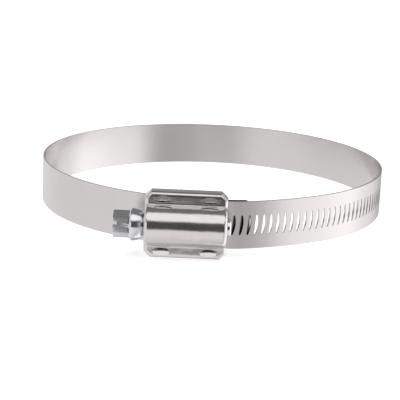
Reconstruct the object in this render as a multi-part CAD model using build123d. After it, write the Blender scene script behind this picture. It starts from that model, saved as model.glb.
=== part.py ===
from build123d import *
from math import asin, cos, degrees, radians, sin, sqrt, tan
import os

# Worm drive hose clamp, millimetres.
# The origin is the middle of the hoop on the hose axis, and Z is the hose axis.
# The housing is on the -Y side, and the screw lies along X with its head towards -X.

# Strip
HOOP_RADIUS = 61.8           # hose axis to the middle of the strip's thickness
BAND_WIDTH = 15.9
BAND_THICKNESS = 0.7
LINER_REACH = 7.4            # fixed end of the strip, past the housing's mouth
MERGE_ANGLE = 36.0           # where the tail has settled onto the hoop
MOUTH_BEND = 16.0            # turn that the tail makes as it leaves the housing
TAIL_INSIDE = 19.4           # free tail held straight inside the housing
BAND_END_ROUND = 2.0

# Slots in the tail
SLOT_PITCH = 2.57
SLOT_LENGTH = 6.6
SLOT_WIDTH = 1.13
SLOT_TIP_WIDTH = 0.56
SLOT_SLANT = 5.0
FIRST_SLOT = 1.6             # from the tail's free end
LAST_SLOT_ANGLE = 88.0

# Housing
HOUSING_CENTRE_X = -8.25     # towards the head from where the hoop runs parallel to the screw
HOUSING_LENGTH = 26.8
COVER_SHEET = 0.9
SADDLE_SHEET = 0.8
SEAT_GAP = 0.05              # strip to saddle
TAIL_GAP = 0.10              # saddle to free tail
TAIL_SIDE_GAP = 0.20         # tail's edges to the saddle's flanges
FLANGE_GAP = 1.2             # saddle's flanges to the cover's walls
BARREL_ROOM = 1.4            # thread crest to the inside of the barrel
WALL_DEPTH = 4.4             # shoulder's face to the lower edge of the cover's wall
OUTER_ROUND = 1.4            # all the cover's outside edges
VALLEY_ROUND = 0.45
CORNER_CUT = 2.0
TAIL_DOOR_ROOM = 0.6         # over the tail, in the cover's open ends
FLANGE_TOP_GAP = 0.05
SADDLE_END_GAP = 0.15
WINDOW_LENGTH = 12.0         # relief in the saddle under the worm
WINDOW_ROOM = 0.6
WINDOW_ROUND = 1.0

# Lock tabs
TAB_SPACING = 15.3
TAB_LENGTH = 5.4
TAB_LIP = 0.85               # how far a tab's lip stands out past its flange
TAB_HEIGHT = 0.5             # flattened lip
TAB_CURL = 0.22
TAB_CROWN = 0.3
TAB_SEAT = 0.02
TAB_END_ROOM = 0.25
TAB_SIDE_ROOM = 0.55

# Worm screw
WORM_ROOT_RADIUS = 3.2
THREAD_DEPTH = 1.3
THREAD_ROOT_WIDTH = 0.85
THREAD_CREST_WIDTH = 0.34
THREAD_ROOT_SUNK = 0.1
THREAD_IN_SLOT = 0.17        # thread's middle from the line between a slot's two tips
THREAD_LEAD_TURNS = 2        # turns between the worm's start and the tail's first slot
THREAD_END_GAP = 2.8         # last of the thread to the inside of the housing's mouth
WORM_GAP = 0.20              # worm's root to the tail
NECK_RADIUS = 3.6
PILOT_RADIUS = 3.0
RUNNING_FIT = 0.06
WORM_END_PLAY = 0.25
COLLAR_PLAY = 0.75
COLLAR_LENGTH = 3.8
COLLAR_RADIUS = 5.3
COLLAR_BACK_RADIUS = 4.6
COLLAR_FRONT_LENGTH = 1.3
COLLAR_ROUND = 0.8
COLLAR_TAPER_BULGE = 0.35    # share of the taper's drop at its middle
HEAD_FILLET = 0.4
HEAD_LENGTH = 4.9
HEAD_ACROSS_FLATS = 7.75
HEAD_TURN = 6.0
HEAD_CORNER_BEVEL = 0.35
HEAD_CORNER_ANGLE = 60.0     # bevel's slope from the screw's axis
DRIVER_SLOT_WIDTH = 1.3
DRIVER_SLOT_DEPTH = 1.3
DRIVER_SLOT_TURN = 20.0
PILOT_REACH = 1.2            # past the housing's mouth
PILOT_BEVEL = 0.4

# Stack from the hoop out to the screw
HOOP_OUTSIDE = HOOP_RADIUS + BAND_THICKNESS / 2
SADDLE_INSIDE = HOOP_OUTSIDE + SEAT_GAP
SADDLE_OUTSIDE = SADDLE_INSIDE + SADDLE_SHEET
TAIL_LINE = SADDLE_OUTSIDE + TAIL_GAP + BAND_THICKNESS / 2
TAIL_OUTSIDE = TAIL_LINE + BAND_THICKNESS / 2
SCREW_AXIS = TAIL_OUTSIDE + WORM_GAP + WORM_ROOT_RADIUS
WORM_CREST_RADIUS = WORM_ROOT_RADIUS + THREAD_DEPTH
BARREL_INSIDE = WORM_CREST_RADIUS + BARREL_ROOM
BARREL_OUTSIDE = BARREL_INSIDE + COVER_SHEET

# Widths from the middle of the strip out to the cover's wall
HALF_BAND = BAND_WIDTH / 2
FLANGE_INSIDE = HALF_BAND + TAIL_SIDE_GAP
FLANGE_OUTSIDE = FLANGE_INSIDE + SADDLE_SHEET
COVER_HALF_WIDTH = FLANGE_OUTSIDE + FLANGE_GAP + COVER_SHEET

# Stations along the screw
HEAD_SIDE_X = HOUSING_CENTRE_X - HOUSING_LENGTH / 2
MOUTH_X = HOUSING_CENTRE_X + HOUSING_LENGTH / 2
TAIL_BEND_X = MOUTH_X - COVER_SHEET
TAIL_END_X = TAIL_BEND_X - TAIL_INSIDE
LINER_END_X = MOUTH_X + LINER_REACH

# Fit of a point to a line when edges are picked
TOLERANCE = 0.01

# Section plane across the screw: local x is Z, local y points out from the hose
SECTION = Plane(origin=(0, -SCREW_AXIS, 0), x_dir=(0, 0, 1), z_dir=(1, 0, 0))


def section_at(x):
    """The section plane moved along the screw."""
    return SECTION.offset(x)


def tail_bends():
    """Radii of the two arcs that take the straight tail down onto the hoop."""
    bend = radians(MOUTH_BEND)
    merge = radians(MERGE_ANGLE)
    along = HOOP_RADIUS * sin(merge) - TAIL_BEND_X
    inward = TAIL_LINE - HOOP_RADIUS * cos(merge)
    first_along = sin(bend)
    second_along = sin(merge) - sin(bend)
    first_inward = 1 - cos(bend)
    second_inward = cos(bend) - cos(merge)
    spread = first_along * second_inward - second_along * first_inward
    first = (along * second_inward - second_along * inward) / spread
    second = (first_along * inward - first_inward * along) / spread
    return first, second


def front_point(centre, radius, angle):
    """Point on an arc, with the angle measured from -Y towards +X."""
    turn = radians(angle)
    return (centre[0] + radius * sin(turn), centre[1] - radius * cos(turn))


def tail_centres():
    """Centres of the tail's two arcs."""
    first, second = tail_bends()
    first_centre = (TAIL_BEND_X, first - TAIL_LINE)
    knee = front_point(first_centre, first, MOUTH_BEND)
    turn = radians(MOUTH_BEND)
    second_centre = (knee[0] - second * sin(turn), knee[1] + second * cos(turn))
    return first_centre, second_centre


def strip_side(offset):
    """One face of the strip seen from above, from the tail's free end to the fixed end."""
    first, second = tail_bends()
    first_centre, second_centre = tail_centres()
    liner_angle = degrees(asin(LINER_END_X / HOOP_RADIUS))
    arcs = [
        (first_centre, first + offset, 0, MOUTH_BEND),
        (second_centre, second + offset, MOUTH_BEND, MERGE_ANGLE),
        ((0, 0), HOOP_RADIUS + offset, MERGE_ANGLE, 180),
        ((0, 0), HOOP_RADIUS + offset, 180, 360 + liner_angle),
    ]
    level = -TAIL_LINE - offset
    edges = [Line((TAIL_END_X, level), (TAIL_BEND_X, level))]
    for centre, radius, start, end in arcs:
        stations = [start, (start + end) / 2, end]
        edges.append(ThreePointArc(*[front_point(centre, radius, angle) for angle in stations]))
    return edges


def tail_station(distance):
    """Point and heading on the tail, at a distance along it from its free end."""
    first, second = tail_bends()
    first_centre, second_centre = tail_centres()
    if distance <= TAIL_INSIDE:
        return (TAIL_END_X + distance, -TAIL_LINE), 0.0
    distance -= TAIL_INSIDE
    angle = degrees(distance / first)
    if angle <= MOUTH_BEND:
        return front_point(first_centre, first, angle), angle
    distance -= first * radians(MOUTH_BEND)
    angle = MOUTH_BEND + degrees(distance / second)
    if angle <= MERGE_ANGLE:
        return front_point(second_centre, second, angle), angle
    distance -= second * radians(MERGE_ANGLE - MOUTH_BEND)
    angle = MERGE_ANGLE + degrees(distance / HOOP_RADIUS)
    return front_point((0, 0), HOOP_RADIUS, angle), angle


def slot_outline():
    """Crescent that bulges away from the housing and leans with the worm's lead."""
    lean = SLOT_LENGTH / 2 * tan(radians(SLOT_SLANT))
    half = SLOT_LENGTH / 2
    tip = SLOT_TIP_WIDTH / 2
    flat_side = Line((lean - tip, half), (-lean - tip, -half))
    low_end = Line((-lean - tip, -half), (-lean + tip, -half))
    bulge = ThreePointArc((-lean + tip, -half), (SLOT_WIDTH - tip, 0), (lean + tip, half))
    high_end = Line((lean + tip, half), (lean - tip, half))
    return make_face([flat_side, low_end, bulge, high_end])


def slot_cutters():
    """One cutter for each slot, square to the strip where it stands."""
    outline = slot_outline()
    cutters = []
    distance = FIRST_SLOT
    while True:
        point, angle = tail_station(distance)
        if angle > LAST_SLOT_ANGLE:
            return cutters
        turn = radians(angle)
        across = Plane(
            origin=(point[0], point[1], 0),
            x_dir=(cos(turn), sin(turn), 0),
            z_dir=(sin(turn), -cos(turn), 0),
        )
        cutters.append(extrude(across * outline, amount=BAND_THICKNESS, both=True))
        distance += SLOT_PITCH


def build_band():
    """One strip: its fixed end lies under the housing, and its slotted tail runs inside."""
    inner = strip_side(-BAND_THICKNESS / 2)
    outer = strip_side(BAND_THICKNESS / 2)
    tail_end = Line(inner[0] @ 0, outer[0] @ 0)
    fixed_end = Line(inner[-1] @ 1, outer[-1] @ 1)
    outline = make_face(inner + outer + [tail_end, fixed_end])
    strip = extrude(outline, amount=HALF_BAND, both=True)
    corners = [edge for edge in strip.edges() if abs(edge.length - BAND_THICKNESS) < TOLERANCE]
    strip = fillet(corners, BAND_END_ROUND)
    return strip - slot_cutters()


def cover_outline(inset):
    """Section of the cover: a round barrel on a box."""
    half_width = COVER_HALF_WIDTH - inset
    box = Pos(0, -WALL_DEPTH / 2 - inset / 2) * Rectangle(2 * half_width, WALL_DEPTH - inset)
    barrel = Circle(BARREL_OUTSIDE - inset)
    floor = Pos(0, -WALL_DEPTH - BARREL_OUTSIDE) * Rectangle(4 * half_width, 2 * BARREL_OUTSIDE)
    outline = (box + barrel) - floor
    level = [v for v in outline.vertices() if abs(v.Y + inset) < TOLERANCE]
    valleys = [v for v in level if abs(v.X) < BARREL_OUTSIDE + TOLERANCE]
    return fillet(valleys, VALLEY_ROUND)


def cover_plan():
    """The cover seen from outside: a rectangle with cut corners."""
    plan = Rectangle(HOUSING_LENGTH, 2 * COVER_HALF_WIDTH)
    return chamfer(plan.vertices(), CORNER_CUT)


def arch(radius):
    """Opening in an end of the cover: round over the shaft and open towards the strip."""
    leg = Pos(0, -WALL_DEPTH) * Rectangle(2 * radius, 2 * WALL_DEPTH)
    return Circle(radius) + leg


def tab_plan(end_room, side_room):
    """Plan of one lock tab or of its opening, with the long side along the screw."""
    middle = (FLANGE_INSIDE + FLANGE_OUTSIDE + TAB_LIP) / 2
    reach = (SADDLE_SHEET + TAB_LIP) / 2
    return Pos(0, middle) * Ellipse(TAB_LENGTH / 2 + end_room, reach + side_room)


def outward_plane(level):
    """Plane square to -Y at a level over the screw's axis: local x is X and local y is Z."""
    return Plane(origin=(HOUSING_CENTRE_X, -SCREW_AXIS - level, 0), x_dir=(1, 0, 0), z_dir=(0, -1, 0))


def tab_places():
    """Where the four lock tabs stand, as side (1 or -1) and place along the screw."""
    return [(side, along) for side in (1, -1) for along in (-TAB_SPACING / 2, TAB_SPACING / 2)]


def cover_rims(body, half_width):
    """Outside edges over the shoulders: both ends, the cut corners and the long sides."""
    top = [e for e in body.edges() if e.center().Y < TOLERANCE - SCREW_AXIS]
    along = [e for e in top if abs(e.bounding_box().size.X - e.length) < TOLERANCE]
    inside = [e for e in along if abs(e.center().Z) < half_width - TOLERANCE]
    return [e for e in top if e not in inside]


def build_cover():
    """Pressed cover: barrel over the worm, shoulders with four tab openings, side walls."""
    body = extrude(section_at(HEAD_SIDE_X) * cover_outline(0), amount=HOUSING_LENGTH)
    depth = WALL_DEPTH + BARREL_OUTSIDE
    plan = extrude(outward_plane(-WALL_DEPTH) * cover_plan(), amount=depth)
    body = body & plan
    body = fillet(cover_rims(body, COVER_HALF_WIDTH), OUTER_ROUND)
    room_length = HOUSING_LENGTH - 2 * COVER_SHEET
    hollow = extrude(section_at(HEAD_SIDE_X + COVER_SHEET) * cover_outline(COVER_SHEET), amount=room_length)
    inner_plan = offset(cover_plan(), amount=-COVER_SHEET)
    hollow = hollow & extrude(outward_plane(-WALL_DEPTH) * inner_plan, amount=depth)
    body -= hollow
    door_top = TAIL_OUTSIDE + TAIL_DOOR_ROOM - SCREW_AXIS
    door_height = door_top + WALL_DEPTH
    door = Pos(0, door_top - door_height / 2) * Rectangle(2 * FLANGE_INSIDE, door_height)
    body -= extrude(section_at(HEAD_SIDE_X) * door, amount=HOUSING_LENGTH)
    body -= extrude(section_at(HEAD_SIDE_X) * arch(NECK_RADIUS + RUNNING_FIT), amount=HOUSING_LENGTH / 2)
    body -= extrude(section_at(MOUTH_X) * arch(PILOT_RADIUS + RUNNING_FIT), amount=-HOUSING_LENGTH / 2)
    for side, along in tab_places():
        under_lip = Pos(0, FLANGE_OUTSIDE + TAB_CURL - HALF_BAND) * Rectangle(BAND_WIDTH, BAND_WIDTH)
        opening = tab_plan(TAB_END_ROOM, TAB_SIDE_ROOM) & under_lip
        if side < 0:
            opening = mirror(opening, about=Plane.XZ)
        cutter = extrude(outward_plane(0) * Pos(along, 0) * opening, amount=2 * COVER_SHEET, both=True)
        body -= cutter
    return body


def saddle_slab(reach, half_width):
    """Block between the hoop's side of the saddle and the cover's shoulders."""
    start = HEAD_SIDE_X + COVER_SHEET + SADDLE_END_GAP
    end = MOUTH_X - COVER_SHEET - SADDLE_END_GAP
    top = SCREW_AXIS - COVER_SHEET - FLANGE_TOP_GAP
    block = Pos((start + end) / 2, -top / 2) * Rectangle(end - start, top)
    return extrude(block - Circle(reach), amount=half_width, both=True)


def saddle_window():
    """Relief that lets the worm's crests dip past the saddle."""
    half_width = sqrt(WORM_CREST_RADIUS**2 - WORM_ROOT_RADIUS**2)
    end = MOUTH_X - COVER_SHEET - THREAD_END_GAP + WINDOW_ROOM
    outline = RectangleRounded(WINDOW_LENGTH, 2 * half_width, WINDOW_ROUND)
    place = Plane(origin=(end - WINDOW_LENGTH / 2, -SCREW_AXIS, 0), x_dir=(1, 0, 0), z_dir=(0, 1, 0))
    return extrude(place * outline, amount=SCREW_AXIS - HOOP_RADIUS + SADDLE_SHEET * 2)


def tab_section():
    """Section of a lock tab: it rises off the flange and is flattened out over the shoulder."""
    root = -COVER_SHEET - SADDLE_SHEET
    bend = TAB_SEAT - TAB_CURL
    top = TAB_SEAT + TAB_HEIGHT
    crown = FLANGE_INSIDE + TAB_CROWN
    curl = FLANGE_OUTSIDE + TAB_CURL
    lip = FLANGE_OUTSIDE + TAB_LIP
    rest = 1 - sqrt(0.5)
    crown_bend = ThreePointArc(
        (FLANGE_INSIDE, top - TAB_CROWN),
        (FLANGE_INSIDE + TAB_CROWN * rest, top - TAB_CROWN * rest),
        (crown, top),
    )
    under_bend = ThreePointArc(
        (curl, TAB_SEAT), (FLANGE_OUTSIDE + TAB_CURL * rest, TAB_SEAT - TAB_CURL * rest), (FLANGE_OUTSIDE, bend)
    )
    return make_face([
        Line((FLANGE_INSIDE, root), (FLANGE_INSIDE, top - TAB_CROWN)),
        crown_bend,
        Line((crown, top), (lip, top)),
        Line((lip, top), (lip, TAB_SEAT)),
        Line((lip, TAB_SEAT), (curl, TAB_SEAT)),
        under_bend,
        Line((FLANGE_OUTSIDE, bend), (FLANGE_OUTSIDE, root)),
        Line((FLANGE_OUTSIDE, root), (FLANGE_INSIDE, root)),
    ])


def build_tab():
    """One lock tab on the +Z side, at the middle of the housing."""
    middle = section_at(HOUSING_CENTRE_X)
    tab = extrude(middle * tab_section(), amount=TAB_LENGTH / 2, both=True)
    plan = extrude(outward_plane(-2 * COVER_SHEET) * tab_plan(0, 0), amount=4 * COVER_SHEET)
    return tab & plan


def build_saddle():
    """Bent channel on the hoop: arched base, two flanges and four lock tabs."""
    channel = saddle_slab(SADDLE_INSIDE, FLANGE_OUTSIDE) - saddle_slab(SADDLE_OUTSIDE, FLANGE_INSIDE)
    plan = offset(cover_plan(), amount=-COVER_SHEET - SADDLE_END_GAP)
    channel &= extrude(outward_plane(0) * plan, amount=-SCREW_AXIS)
    channel -= saddle_window()
    tab = build_tab()
    for side, along in tab_places():
        one = tab if side > 0 else mirror(tab, about=Plane.XY)
        channel += Pos(along, 0, 0) * one
    return channel


def screw_profile():
    """Half section of the screw's round parts, from the head's root to the pilot's tip."""
    collar_back = HEAD_SIDE_X - COLLAR_PLAY
    collar_front = collar_back - COLLAR_LENGTH
    head_root = collar_front - HEAD_FILLET
    flats = HEAD_ACROSS_FLATS / 2
    crown = collar_front + COLLAR_FRONT_LENGTH
    worm_start = HEAD_SIDE_X + COVER_SHEET + WORM_END_PLAY
    thread_end = MOUTH_X - COVER_SHEET - THREAD_END_GAP
    tip = MOUTH_X + PILOT_REACH
    half = sqrt(0.5)
    round_middle = (
        collar_front + COLLAR_ROUND * (1 - half),
        COLLAR_RADIUS - COLLAR_ROUND * (1 - half),
    )
    fillet_middle = (head_root + HEAD_FILLET * half, flats + HEAD_FILLET * (1 - half))
    taper_drop = (COLLAR_RADIUS - COLLAR_BACK_RADIUS) * COLLAR_TAPER_BULGE
    taper_middle = ((crown + collar_back) / 2, COLLAR_RADIUS - taper_drop)
    return make_face([
        Line((head_root, 0), (head_root, flats)),
        ThreePointArc((head_root, flats), fillet_middle, (collar_front, flats + HEAD_FILLET)),
        Line((collar_front, flats + HEAD_FILLET), (collar_front, COLLAR_RADIUS - COLLAR_ROUND)),
        ThreePointArc(
            (collar_front, COLLAR_RADIUS - COLLAR_ROUND), round_middle, (collar_front + COLLAR_ROUND, COLLAR_RADIUS)
        ),
        Line((collar_front + COLLAR_ROUND, COLLAR_RADIUS), (crown, COLLAR_RADIUS)),
        ThreePointArc((crown, COLLAR_RADIUS), taper_middle, (collar_back, COLLAR_BACK_RADIUS)),
        Polyline(
            (collar_back, COLLAR_BACK_RADIUS),
            (collar_back, NECK_RADIUS),
            (worm_start, NECK_RADIUS),
            (worm_start, WORM_ROOT_RADIUS),
            (thread_end, WORM_ROOT_RADIUS),
            (thread_end, PILOT_RADIUS),
            (tip - PILOT_BEVEL, PILOT_RADIUS),
            (tip, PILOT_RADIUS - PILOT_BEVEL),
            (tip, 0),
            (head_root, 0),
        ),
    ])


def build_head():
    """Hexagon with bevelled corners and a slot for a driver, drawn about X."""
    root = HEAD_SIDE_X - COLLAR_PLAY - COLLAR_LENGTH
    start = root - HEAD_FILLET - HEAD_LENGTH
    across = Plane(origin=(start, 0, 0), x_dir=(0, 0, 1), z_dir=(1, 0, 0))
    corner_radius = HEAD_ACROSS_FLATS / sqrt(3)
    hexagon = across * Rot(0, 0, -HEAD_TURN) * RegularPolygon(corner_radius, 6)
    head = extrude(hexagon, amount=root - start)
    cone_radius = corner_radius - HEAD_CORNER_BEVEL
    blank = extrude(across * Circle(cone_radius), amount=2 * corner_radius, taper=-HEAD_CORNER_ANGLE)
    head = head & blank
    driver = across * Rot(0, 0, -DRIVER_SLOT_TURN) * Rectangle(DRIVER_SLOT_WIDTH, 3 * corner_radius)
    return head - extrude(driver, amount=DRIVER_SLOT_DEPTH)


def build_thread():
    """Right-handed worm thread, in step with the slots of the tail that it drives."""
    first_slot = TAIL_END_X + FIRST_SLOT + THREAD_IN_SLOT
    start = first_slot - THREAD_LEAD_TURNS * SLOT_PITCH
    end = MOUTH_X - COVER_SHEET - THREAD_END_GAP
    helix = Helix(SLOT_PITCH, end - start, WORM_ROOT_RADIUS)
    root = THREAD_ROOT_WIDTH / 2
    crest = THREAD_CREST_WIDTH / 2
    tooth = Polyline(
        (WORM_ROOT_RADIUS - THREAD_ROOT_SUNK, -root),
        (WORM_ROOT_RADIUS - THREAD_ROOT_SUNK, root),
        (WORM_CREST_RADIUS, crest),
        (WORM_CREST_RADIUS, -crest),
        close=True,
    )
    thread = sweep(Plane.XZ * make_face(tooth), path=helix, is_frenet=True)
    return Plane(origin=(start, 0, 0), x_dir=(0, 1, 0), z_dir=(1, 0, 0)).location * thread


def build_screw():
    """Worm screw: hexagon head, collar, neck, worm and pilot in one piece."""
    shaft = revolve(screw_profile(), axis=Axis.X)
    screw = shaft + build_head() + build_thread()
    return Pos(0, -SCREW_AXIS, 0) * screw


parts = {
    "band": build_band(),
    "saddle": build_saddle(),
    "housing_cover": build_cover(),
    "worm_screw": build_screw(),
}
os.makedirs("parts", exist_ok=True)
for node, solid in parts.items():
    print(node, solid.is_valid, len(solid.solids()), round(solid.volume, 2))
    export_step(solid, f"parts/{node}.step")
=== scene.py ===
import logging
import math
from dataclasses import dataclass
from enum import Enum
from typing import Any

import bmesh
import bpy
from mathutils import Matrix, Vector


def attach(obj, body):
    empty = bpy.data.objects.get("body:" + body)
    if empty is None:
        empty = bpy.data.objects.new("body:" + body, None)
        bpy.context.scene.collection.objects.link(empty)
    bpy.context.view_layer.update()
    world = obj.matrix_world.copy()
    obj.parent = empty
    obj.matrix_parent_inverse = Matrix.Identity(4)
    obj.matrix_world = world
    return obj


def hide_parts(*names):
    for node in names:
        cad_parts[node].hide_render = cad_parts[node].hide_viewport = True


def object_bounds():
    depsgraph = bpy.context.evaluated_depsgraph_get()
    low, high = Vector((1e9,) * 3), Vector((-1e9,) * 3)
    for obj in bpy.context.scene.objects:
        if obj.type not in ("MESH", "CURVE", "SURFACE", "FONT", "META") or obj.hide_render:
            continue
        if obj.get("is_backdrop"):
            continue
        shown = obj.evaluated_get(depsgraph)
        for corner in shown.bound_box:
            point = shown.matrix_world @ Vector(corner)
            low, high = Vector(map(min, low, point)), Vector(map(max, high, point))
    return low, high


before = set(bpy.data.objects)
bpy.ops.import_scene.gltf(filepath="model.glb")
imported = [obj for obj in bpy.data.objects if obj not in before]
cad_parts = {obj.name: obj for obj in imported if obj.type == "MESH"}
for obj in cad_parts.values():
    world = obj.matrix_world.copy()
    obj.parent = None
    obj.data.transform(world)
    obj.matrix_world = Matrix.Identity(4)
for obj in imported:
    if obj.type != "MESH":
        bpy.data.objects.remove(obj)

log = logging.getLogger("hose_clamp")
MM = 0.001
PHOTO_SIDE = 400
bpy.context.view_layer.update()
Colour = tuple[float, float, float]
Stops = tuple[tuple[float, float], ...]


class Ray(Enum):
    """Kinds of rays that a shader tells apart, by the Light Path node's names."""

    CAMERA = "Is Camera Ray"
    GLOSSY = "Is Glossy Ray"
    TRANSMISSION = "Is Transmission Ray"


class Wire:
    """A shader socket that takes part in arithmetic."""

    def __init__(self, shader: "Shader", socket: bpy.types.NodeSocket) -> None:
        """Keeps the socket and the shader that it is in.

        Args:
            shader: the shader that new Math nodes go into.
            socket: the output that this value is read from.
        """
        self.shader = shader
        self.socket = socket

    def _math(self, operation: str, *values: Any) -> "Wire":
        """Adds one Math node.

        Args:
            operation: the node's operation.
            values: its inputs, as numbers or wires.

        Returns:
            The node's output.
        """
        return self.shader.node("ShaderNodeMath", {"operation": operation}, dict(enumerate(values)))

    def __add__(self, other: Any) -> "Wire":
        """Sum."""
        return self._math("ADD", self, other)

    __radd__ = __add__

    def __sub__(self, other: Any) -> "Wire":
        """Difference."""
        return self._math("SUBTRACT", self, other)

    def __rsub__(self, other: Any) -> "Wire":
        """Difference, with this value taken away."""
        return self._math("SUBTRACT", other, self)

    def __mul__(self, other: Any) -> "Wire":
        """Product."""
        return self._math("MULTIPLY", self, other)

    __rmul__ = __mul__

    def __truediv__(self, other: Any) -> "Wire":
        """Quotient."""
        return self._math("DIVIDE", self, other)

    def turn_from(self, other: "Wire") -> "Wire":
        """Angle whose tangent is this value over the other, from -pi to pi."""
        return self._math("ARCTAN2", self, other)

    def root(self) -> "Wire":
        """Square root."""
        return self._math("SQRT", self)

    def clamped(self) -> "Wire":
        """This value held between 0 and 1."""
        return self.shader.node("ShaderNodeClamp", {}, {"Value": self})

    def past(self, limit: float) -> "Wire":
        """How far this value lies over a limit, and 0 under it."""
        return self._math("MAXIMUM", self - limit, 0.0)

    def over(self, limit: float, fade: float) -> "Wire":
        """0 up to a limit, and 1 from a fade past it."""
        return ((self - limit) / fade).clamped()

    def under(self, limit: float, fade: float) -> "Wire":
        """0 down to a limit, and 1 from a fade below it."""
        return ((limit - self) / fade).clamped()


class Shader:
    """A material's or the world's nodes, written as expressions."""

    def __init__(self, owner: bpy.types.Material | bpy.types.World) -> None:
        """Turns the owner's nodes on and finds its shader.

        Args:
            owner: the new material or world.
        """
        owner.use_nodes = True
        self.owner = owner
        self.tree = owner.node_tree
        kinds = ("ShaderNodeBsdfPrincipled", "ShaderNodeBackground")
        self.surface = next(node for node in self.tree.nodes if node.bl_idname in kinds)

    def node(self, kind: str, settings: dict[str, Any], inputs: dict[Any, Any], out: Any = 0) -> Wire:
        """Adds a node of any type.

        Args:
            kind: the node's type.
            settings: its settings, which are set before its sockets.
            inputs: values or wires for its sockets, by name or number.
            out: name or number of the output that is wanted.

        Returns:
            The wanted output.
        """
        made = self.tree.nodes.new(kind)
        for key, value in settings.items():
            if key == "stops":
                ramp = made.color_ramp
                ramp.interpolation = "EASE"
                while len(ramp.elements) < len(value):
                    ramp.elements.new(1.0)
                for element, (place, grey) in zip(ramp.elements, value):
                    element.position = place
                    element.color = (grey, grey, grey, 1.0)
            else:
                setattr(made, key, value)
        for key, value in inputs.items():
            self._feed(made.inputs[key], value)
        return Wire(self, made.outputs[out])

    def _feed(self, socket: bpy.types.NodeSocket, value: Any) -> None:
        """Links a wire to a socket, or sets the socket's own value."""
        if isinstance(value, Wire):
            self.tree.links.new(value.socket, socket)
        else:
            socket.default_value = value

    def drive(self, **inputs: Any) -> None:
        """Sets or links sockets of the owner's shader.

        Args:
            inputs: the socket's name with underscores, and its value or wire.
        """
        for key, value in inputs.items():
            self._feed(self.surface.inputs[key.replace("_", " ")], value)

    def place(self) -> tuple[Wire, Wire, Wire, Wire]:
        """The place on the piece in metres, whole and as its three numbers."""
        whole = self.node("ShaderNodeTexCoord", {}, {}, "Object")
        return whole, *self.parts(whole)

    def parts(self, vector: Wire) -> tuple[Wire, Wire, Wire]:
        """The three numbers of a vector."""
        made = self.node("ShaderNodeSeparateXYZ", {}, {"Vector": vector}).socket.node
        return Wire(self, made.outputs[0]), Wire(self, made.outputs[1]), Wire(self, made.outputs[2])

    def joined(self, x: Any, y: Any, z: Any) -> Wire:
        """A vector from three numbers."""
        return self.node("ShaderNodeCombineXYZ", {}, {"X": x, "Y": y, "Z": z})

    def ray(self, kind: Ray) -> Wire:
        """1 for rays of one kind and 0 for others."""
        return self.node("ShaderNodeLightPath", {}, {}, kind.value)

    def ramp(self, amount: Wire, stops: Stops) -> Wire:
        """A grey that eases from stop to stop.

        Args:
            amount: where the ramp is read, from 0 to 1.
            stops: places and greys.

        Returns:
            The grey.
        """
        return self.node("ShaderNodeValToRGB", {"stops": stops}, {"Fac": amount})

    def noise(self, place: Wire, scale: float, detail: float = 3.0) -> Wire:
        """Noise between 0 and 1.

        Args:
            place: where it is read.
            scale: waves for each metre of place.
            detail: how many finer layers it has.

        Returns:
            The noise.
        """
        inputs = {"Vector": place, "Scale": scale, "Detail": detail}
        return self.node("ShaderNodeTexNoise", {}, inputs, "Fac")

    def blend(self, amount: Wire, low: Wire | Colour, high: Wire | Colour) -> Wire:
        """Colour between two colours.

        Args:
            amount: 0 for the low colour and 1 for the high one.
            low: the first colour.
            high: the second colour.

        Returns:
            The blended colour.
        """
        low, high = (end if isinstance(end, Wire) else (*end, 1.0) for end in (low, high))
        return self.node("ShaderNodeMix", {"data_type": "RGBA"}, {"Factor": amount, 6: low, 7: high}, 2)

    def bump(self, height: Wire, strength: float, distance: float) -> Wire:
        """Normal from a height.

        Args:
            height: how high the surface stands.
            strength: how much of the bump shows.
            distance: how far a height of 1 stands out, in metres.

        Returns:
            The normal.
        """
        return self.node("ShaderNodeBump", {}, {"Height": height, "Strength": strength, "Distance": distance})


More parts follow.
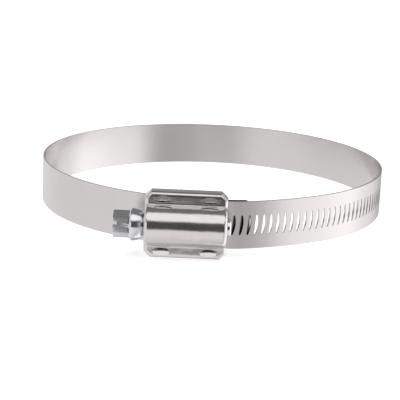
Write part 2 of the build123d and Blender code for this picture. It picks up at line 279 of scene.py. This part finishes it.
@dataclass(frozen=True)
class RolledStrip:
    """Satin stainless strip, with fine rolling lines along its length and painted shade on the fixed end's
    face under the slotted tail.
    """

    dull: Colour = (0.58, 0.545, 0.545)
    clean: Colour = (0.67, 0.64, 0.643)
    # painted shade: a near black that stands for the shade on the fixed end's face, seen through the tail's
    # slots
    painted_shade: Colour = (0.10, 0.095, 0.09)
    roughness: float = 0.21
    cloud_roughness: float = 0.08
    line_roughness: float = 0.10
    inner_polish: float = 0.08
    brushing: float = 0.7
    brushing_turn: float = 0.25
    line_scale: float = 9000.0
    line_stretch: float = 0.02
    line_share: float = 0.4
    line_bump: float = 0.08
    line_height: float = 0.02 * MM
    cloud_scale: float = 90.0
    cloud_share: float = 0.6
    detail: float = 2.0
    liner_ends: tuple[float, float] = (3.0 * MM, 12.4 * MM)
    liner_faces: tuple[float, float] = (61.8 * MM, 62.19 * MM)
    end_fade: float = MM / 3
    face_fades: tuple[float, float] = (0.08 * MM, 0.008 * MM)

    def build(self) -> bpy.types.Material:
        """Makes the material."""
        s = Shader(bpy.data.materials.new("rolled_strip"))
        whole, x, y, z = s.place()
        stretched = s.joined(x * self.line_stretch, y * self.line_stretch, z)
        lines = s.noise(stretched, self.line_scale, self.detail)
        cloud = s.noise(whole, self.cloud_scale, self.detail)
        radius = (x * x + y * y).root()
        polish = radius.under(self.liner_faces[0], self.face_fades[0]) * self.inner_polish
        grain = (cloud * self.cloud_share + lines * self.line_share).clamped()
        wear = cloud * self.cloud_roughness + lines * self.line_roughness
        bare = s.blend(grain, self.dull, self.clean)
        # the base colour turns to painted shade on the fixed end's face under the tail
        s.drive(
            Base_Color=s.blend(self.painted_shade_under_tail(x, y, radius), bare, self.painted_shade),
            Metallic=1.0,
            Roughness=(wear + self.roughness - polish).clamped(),
            Anisotropic=self.brushing,
            Anisotropic_Rotation=self.brushing_turn,
            Normal=s.bump(lines, self.line_bump, self.line_height),
        )
        return s.owner

    def painted_shade_under_tail(self, x: Wire, y: Wire, radius: Wire) -> Wire:
        """Mask of the painted shade, which darkens the outer face of the fixed end under the slotted tail.

        Args:
            x: the place's distance along the screw.
            y: the place's distance from the hose axis towards the back.
            radius: the place's distance from the hose axis.

        Returns:
            1 on that face and 0 elsewhere.
        """
        start, end = self.liner_ends
        inner, outer = self.liner_faces
        inner_fade, outer_fade = self.face_fades
        along = x.over(start, self.end_fade) * x.under(end, self.end_fade)
        across = radius.over(inner, inner_fade) * radius.under(outer, outer_fade)
        return along * across * y.under(0.0, self.end_fade)


@dataclass(frozen=True)
class PressedSteel:
    """Bright pressed stainless, with faint drawing marks, dents and leaning shoulders."""

    name: str = "pressed_steel"
    dull: Colour = (0.58, 0.545, 0.54)
    clean: Colour = (0.72, 0.69, 0.685)
    roughness: float = 0.09
    cloud_roughness: float = 0.10
    mark_roughness: float = 0.06
    mark_scale: float = 2600.0
    mark_stretch: float = 0.06
    mark_share: float = 0.3
    cloud_scale: float = 260.0
    cloud_share: float = 0.7
    dent_scale: float = 170.0
    dent_detail: float = 2.0
    dent_height: float = 0.09 * MM
    cloud_dents: float = 0.3
    shoulder: float = 7.2 * MM
    lean_above: float = 0.085
    lean_below: float = 0.075

    def build(self) -> bpy.types.Material:
        """Makes the material."""
        s = Shader(bpy.data.materials.new(self.name))
        whole, x, y, z = s.place()
        marks = s.noise(s.joined(x * self.mark_stretch, y, z), self.mark_scale)
        cloud = s.noise(whole, self.cloud_scale)
        dents = s.noise(whole, self.dent_scale, self.dent_detail) + cloud * self.cloud_dents
        wear = cloud * self.cloud_roughness + marks * self.mark_roughness
        grain = (cloud * self.cloud_share + marks * self.mark_share).clamped()
        s.drive(
            Base_Color=s.blend(grain, self.dull, self.clean),
            Metallic=1.0,
            Roughness=(wear + self.roughness).clamped(),
            Normal=s.bump(dents * self.dent_height + self.lean(z), 1.0, 1.0),
        )
        return s.owner

    def lean(self, z: Wire) -> Wire:
        """Height in metres that tips both shoulders a little away from flat.

        Args:
            z: the place's distance along the hose axis.

        Returns:
            The height, which is 0 between the shoulders.
        """
        below = (z * -1.0).past(self.shoulder) * self.lean_below
        return below - z.past(self.shoulder) * self.lean_above


@dataclass(frozen=True)
class PlatedScrew:
    """Plated turned steel, cooler than the strip, with painted shade on the thread inside the housing and in
    the gap at its neck.
    """

    dull: Colour = (0.60, 0.603, 0.62)
    clean: Colour = (0.80, 0.803, 0.82)
    # painted shade: a dark grey that stands for the shade on the screw inside the housing and in the gap
    # between its collar and the housing
    painted_shade: Colour = (0.14, 0.14, 0.145)
    painted_shade_share: float = 0.8
    roughness: float = 0.11
    cloud_roughness: float = 0.10
    head_roughness: float = 0.10
    turning_scale: float = 4200.0
    turning_stretch: float = 0.03
    turning_share: float = 0.2
    turning_detail: float = 2.0
    turning_dents: float = 0.4
    cloud_scale: float = 420.0
    cloud_share: float = 0.8
    cloud_dents: float = 0.6
    bump: float = 0.12
    dent_height: float = 0.1 * MM
    head_root: float = -26.6 * MM
    neck: float = -22.4 * MM
    thread_end: float = 4.5 * MM
    fade: float = 0.25 * MM

    def build(self) -> bpy.types.Material:
        """Makes the material."""
        s = Shader(bpy.data.materials.new("plated_screw"))
        whole, x, y, z = s.place()
        stretched = s.joined(x, y * self.turning_stretch, z * self.turning_stretch)
        turning = s.noise(stretched, self.turning_scale, self.turning_detail)
        cloud = s.noise(whole, self.cloud_scale)
        on_head = x.under(self.head_root, self.fade)
        # painted shade from the neck to the thread's end, where the screw runs in the housing
        painted_shade_span = x.over(self.neck, self.fade) * x.under(self.thread_end, self.fade)
        grain = (cloud * self.cloud_share + turning * self.turning_share).clamped()
        wear = cloud * self.cloud_roughness + on_head * self.head_roughness
        dents = turning * self.turning_dents + cloud * self.cloud_dents
        s.drive(
            Base_Color=s.blend(painted_shade_span * self.painted_shade_share, s.blend(grain, self.dull, self.clean), self.painted_shade),
            Metallic=1.0,
            Roughness=(wear + self.roughness).clamped(),
            Normal=s.bump(dents, self.bump, self.dent_height),
        )
        return s.owner


@dataclass
class Studio:
    """Pale floor, soft lights and the camera at the photograph's place."""

    elevation_deg: float = 14.53
    roll_deg: float = 2.496
    distance: float = 490.3 * MM
    focal_px: float = 1322.9
    target_right: float = -3.984 * MM
    target_up: float = -8.201 * MM
    sensor: float = 36.0
    clip: tuple[float, float] = (0.01, 20.0)
    floor_side: float = 3.0
    floor_grey: float = 0.90
    floor_lift: float = 0.54
    fill_watts: float = 1.5
    fill_place: tuple[float, float, float] = (0.0, -0.10, 0.65)
    fill_size: tuple[float, float] = (0.9, 0.7)
    below: Stops = (
        (-180, 0.42), (-150, 0.64), (-30, 0.70), (4, 0.69), (18, 0.58), (40, 0.49), (62, 0.90),
        (104, 1.07), (130, 0.76), (160, 0.36),
    )
    ring: Stops = (
        (-180, 0.25), (-150, 0.62), (-32, 0.66), (-12, 0.06), (26, 0.06), (62, 0.90), (104, 1.07),
        (130, 0.76), (155, 0.22),
    )
    upper: Stops = (
        (-180, 0.20), (-125, 0.50), (-85, 0.62), (-62, 0.06), (62, 0.06), (85, 0.75), (125, 0.75),
        (155, 0.20),
    )
    above: Stops = ((0, 1.25), (82, 1.25), (91, 0.22))
    deep_rise: Stops = ((-80, 0.85), (-42, 1.0))
    ring_rise: Stops = ((-14, 0.0), (-4, 1.0))
    upper_rise: Stops = ((20, 0.0), (32, 1.0))
    above_rise: Stops = ((32, 0.0), (43, 1.0))
    wall_level: float = 1.5

    def camera(self) -> None:
        """Sets the camera up at the photograph's viewing angle."""
        lift = math.radians(self.elevation_deg)
        roll = math.radians(self.roll_deg)
        back = Vector((0.0, -math.cos(lift), math.sin(lift)))
        right = Vector((1.0, 0.0, 0.0))
        up = back.cross(right)
        turned_right = right * math.cos(roll) + up * math.sin(roll)
        turned_up = up * math.cos(roll) - right * math.sin(roll)
        place = right * self.target_right + up * self.target_up + back * self.distance
        data = bpy.data.cameras.new("camera")
        data.sensor_width = self.sensor
        data.lens = self.focal_px * self.sensor / PHOTO_SIDE
        data.clip_start, data.clip_end = self.clip
        camera = bpy.data.objects.new("camera", data)
        turn = Matrix((turned_right, turned_up, back)).transposed().to_4x4()
        camera.matrix_world = Matrix.Translation(place) @ turn
        bpy.context.scene.collection.objects.link(camera)
        bpy.context.scene.camera = camera

    def floor(self) -> None:
        """Lays the floor under the lowest point of the clamp."""
        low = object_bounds()[0].z
        mesh = bpy.data.meshes.new("floor")
        shape = bmesh.new()
        bmesh.ops.create_grid(shape, x_segments=1, y_segments=1, size=self.floor_side)
        bmesh.ops.translate(shape, vec=(0.0, 0.0, low), verts=shape.verts)
        shape.to_mesh(mesh)
        shape.free()
        floor = bpy.data.objects.new("floor", mesh)
        bpy.context.scene.collection.objects.link(floor)
        mesh.materials.append(self.paper())
        floor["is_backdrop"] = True

    def paper(self) -> bpy.types.Material:
        """White paper with the clamp's shadow, which gives way to the pale room in the metal."""
        s = Shader(bpy.data.materials.new("floor_paper"))
        s.drive(
            Base_Color=(self.floor_grey, self.floor_grey, self.floor_grey, 1.0),
            Roughness=0.9,
            Emission_Color=(1.0, 1.0, 1.0, 1.0),
            Emission_Strength=s.ray(Ray.CAMERA) * self.floor_lift,
        )
        clear = s.node("ShaderNodeBsdfTransparent", {}, {})
        metal = (s.ray(Ray.GLOSSY) + s.ray(Ray.TRANSMISSION)).clamped()
        paper = Wire(s, s.surface.outputs[0])
        mixed = s.node("ShaderNodeMixShader", {}, {"Fac": metal, 1: paper, 2: clear})
        s.tree.links.new(mixed.socket, s.tree.nodes["Material Output"].inputs["Surface"])
        return s.owner

    def fill_box(self) -> None:
        """Hangs one soft rectangular light over the clamp, which its metal doesn't mirror."""
        place = Vector(self.fill_place)
        data = bpy.data.lights.new("fill_box", "AREA")
        data.shape = "RECTANGLE"
        data.size, data.size_y = self.fill_size
        data.energy = self.fill_watts
        lamp = bpy.data.objects.new("fill_box", data)
        lamp.location = place
        lamp.rotation_mode = "QUATERNION"
        lamp.rotation_quaternion = (-place).to_track_quat("-Z", "Y")
        lamp.visible_glossy = False
        bpy.context.scene.collection.objects.link(lamp)

    def room(self) -> None:
        """The studio around the clamp: pale below, soft boxes overhead and at the sides, dark in front."""
        s = Shader(bpy.data.worlds.new("studio"))
        x, y, z = s.parts(s.node("ShaderNodeTexCoord", {}, {}, "Generated"))
        front = y * -1.0
        azimuth = x.turn_from(front) / (2 * math.pi) + 0.5
        pitch = z.turn_from(front) / (2 * math.pi) + 0.5
        rise = z * 0.5 + 0.5
        around = (self.below, self.ring, self.upper)
        below, ring, upper = (s.ramp(azimuth, self.turns(stops)) for stops in around)
        above = s.ramp(pitch, self.turns(self.above))
        deep = s.ramp(rise, self.rises(self.deep_rise))
        walls = below * deep + (ring - below) * s.ramp(rise, self.rises(self.ring_rise))
        walls = (walls + (upper - walls) * s.ramp(rise, self.rises(self.upper_rise))) * self.wall_level
        level = walls + (above - walls) * s.ramp(rise, self.rises(self.above_rise))
        seen = s.ray(Ray.CAMERA)
        s.drive(Color=(1.0, 1.0, 1.0, 1.0), Strength=seen + (1.0 - seen) * level)
        bpy.context.scene.world = s.owner

    @staticmethod
    def turns(stops: Stops) -> Stops:
        """Ramp stops from angles in degrees, where -180 to 180 fills the ramp."""
        return tuple((angle / 360 + 0.5, grey) for angle, grey in stops)

    @staticmethod
    def rises(stops: Stops) -> Stops:
        """Ramp stops from heights over the horizon in degrees, for a ramp that is read by the sine."""
        return tuple((math.sin(math.radians(angle)) / 2 + 0.5, grey) for angle, grey in stops)

    def build(self) -> None:
        """Builds the whole studio."""
        self.camera()
        self.floor()
        self.room()
        self.fill_box()
        bpy.context.scene.view_settings.view_transform = "Standard"


@dataclass(frozen=True)
class EdgeBreak:
    """Sharp edges of a solid that lie in a box and are rounded a little.

    The box is in millimetres and the width in metres.
    """

    low: tuple[float, float, float]
    high: tuple[float, float, float]
    width: float
    segments: int = 2
    least_deg: float = 35.0

    def holds(self, edge: bmesh.types.BMEdge) -> bool:
        """Whether the edge is sharp and lies in the box.

        Args:
            edge: an edge of the solid's merged mesh.

        Returns:
            True if it is to be rounded.
        """
        if not edge.is_manifold or edge.calc_face_angle(0.0) < math.radians(self.least_deg):
            return False
        return all(
            low * MM <= place <= high * MM
            for vertex in edge.verts
            for low, place, high in zip(self.low, vertex.co, self.high)
        )

    def apply(self, shape: bmesh.types.BMesh) -> None:
        """Rounds the edges that it holds."""
        edges = [edge for edge in shape.edges if self.holds(edge)]
        bmesh.ops.bevel(
            shape, geom=edges, offset=self.width, affect="EDGES", segments=self.segments, profile=0.5,
            material=-1, clamp_overlap=True,
        )


@dataclass
class SmoothedNode:
    """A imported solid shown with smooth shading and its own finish."""

    node: str
    finish: bpy.types.Material
    body: str
    slot: str
    breaks: tuple[EdgeBreak, ...]
    sharp_deg: float = 20.0
    merge: float = 0.002 * MM

    def build(self) -> bpy.types.Object:
        """Copies the solid's mesh, joins its loose triangles and smooths it.

        Returns:
            The piece that stands for the node.
        """
        shape = bmesh.new()
        shape.from_mesh(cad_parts[self.node].data)
        bmesh.ops.remove_doubles(shape, verts=shape.verts, dist=self.merge)
        for edge_break in self.breaks:
            edge_break.apply(shape)
        limit = math.radians(self.sharp_deg)
        for face in shape.faces:
            face.smooth = True
        for edge in shape.edges:
            edge.smooth = edge.is_manifold and edge.calc_face_angle(0.0) < limit
        mesh = bpy.data.meshes.new(self.node + "_form")
        shape.to_mesh(mesh)
        shape.free()
        mesh.materials.append(self.finish)
        piece = bpy.data.objects.new(self.node + "_form", mesh)
        bpy.context.scene.collection.objects.link(piece)
        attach(piece, self.body)
        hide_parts(self.node)
        return piece


@dataclass
class StripAndHousing:
    """The strip, the saddle on its fixed end and the pressed cover over both."""

    hoop_reach: float = 70.0
    rim: float = 8.0
    rim_reach: float = 0.1
    rim_round: float = 0.12 * MM
    housing_ends: tuple[float, float] = (-25.0, 10.0)
    tab_heights: tuple[float, float] = (-67.8, -67.6)
    tab_half: float = 11.0
    tab_round: float = 0.14 * MM
    opening_heights: tuple[float, float] = (-67.3, -67.1)
    opening_half: float = 10.3
    opening_round: float = 0.10 * MM

    def strip(self) -> SmoothedNode:
        """The slotted strip, with its upper and lower rims rounded."""
        reach = self.hoop_reach
        rims = tuple(
            EdgeBreak(
                (-reach, -reach, side * self.rim - self.rim_reach),
                (reach, reach, side * self.rim + self.rim_reach),
                self.rim_round,
            )
            for side in (-1, 1)
        )
        return SmoothedNode("band", RolledStrip().build(), "clamp", "band_steel", rims)

    def saddle(self) -> SmoothedNode:
        """The saddle, with the edges of its lock tabs rounded."""
        finish = PressedSteel("tab_steel", (0.66, 0.63, 0.625), (0.80, 0.775, 0.77), lean_below=-0.16)
        edges = self.across_housing(self.tab_heights, self.tab_half, self.tab_round)
        return SmoothedNode("saddle", finish.build(), "clamp", "housing_steel", (edges,))

    def cover(self) -> SmoothedNode:
        """The cover, with the edges of its tab openings rounded."""
        edges = self.across_housing(self.opening_heights, self.opening_half, self.opening_round)
        return SmoothedNode("housing_cover", PressedSteel().build(), "clamp", "housing_steel", (edges,))

    def across_housing(self, heights: tuple[float, float], half: float, width: float) -> EdgeBreak:
        """Edges over the housing's length, between two heights.

        Args:
            heights: lowest and highest place across the hoop, in millimetres.
            half: furthest place along the hose axis, in millimetres.
            width: how wide they are rounded, in metres.

        Returns:
            The edges to round.
        """
        (start, end), (low, high) = self.housing_ends, heights
        return EdgeBreak((start, low, -half), (end, high, half), width)

    def pieces(self) -> tuple[SmoothedNode, ...]:
        """The three pieces."""
        return self.strip(), self.saddle(), self.cover()


@dataclass
class DriveScrew:
    """The worm screw, with the edges of its hexagon head rounded."""

    head_low: tuple[float, float, float] = (-33.0, -75.0, -6.0)
    head_high: tuple[float, float, float] = (-26.5, -60.0, 6.0)
    head_round: float = 0.14 * MM

    def pieces(self) -> tuple[SmoothedNode, ...]:
        """The one piece."""
        edges = EdgeBreak(self.head_low, self.head_high, self.head_round)
        return (SmoothedNode("worm_screw", PlatedScrew().build(), "screw", "screw_steel", (edges,)),)


def main() -> None:
    """Builds the studio and dresses the clamp."""
    logging.basicConfig(level=logging.INFO, format="%(name)s: %(message)s")
    for assembly in (StripAndHousing(), DriveScrew()):
        for piece in assembly.pieces():
            made = piece.build()
            log.info("%s stands for %s with %d faces", made.name, piece.node, len(made.data.polygons))
    Studio().build()


if __name__ == "__main__":
    main()
